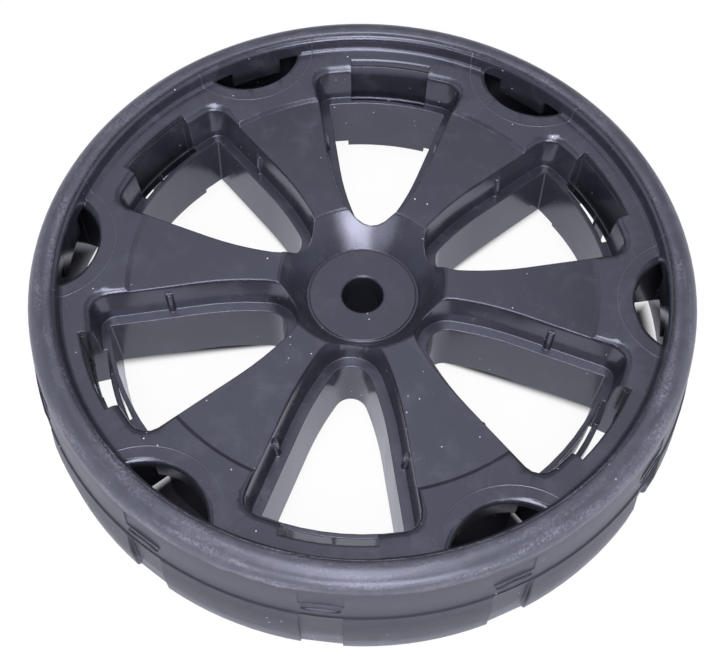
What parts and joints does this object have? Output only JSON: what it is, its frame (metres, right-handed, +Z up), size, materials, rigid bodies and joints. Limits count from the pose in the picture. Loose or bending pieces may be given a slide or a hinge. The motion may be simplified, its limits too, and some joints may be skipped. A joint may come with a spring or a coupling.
{
  "type": "spoked plastic wheel",
  "caption": "Black moulded plastic wheel with a dished hub and bore, spokes between recessed windows, clip slots, finger holes and a round-shouldered grooved tyre.",
  "frame": {"origin": "on the axle's axis, in the plane that the wheel rests on when it lies on its back face", "axes": "+Z up along the axle, out of the dished face; +X along one spoke's centre line"},
  "size_m": [0.2026, 0.2026, 0.045],
  "materials": {
    "body_plastic": "charcoal moulded polypropylene with a soft sheen",
    "tyre_compound": "dull black moulded tread, scuffed and dusty"
  },
  "bodies": {
    "root": {"wheel_body": "body_plastic", "tyre": "tyre_compound"}
  },
  "joints": []
}
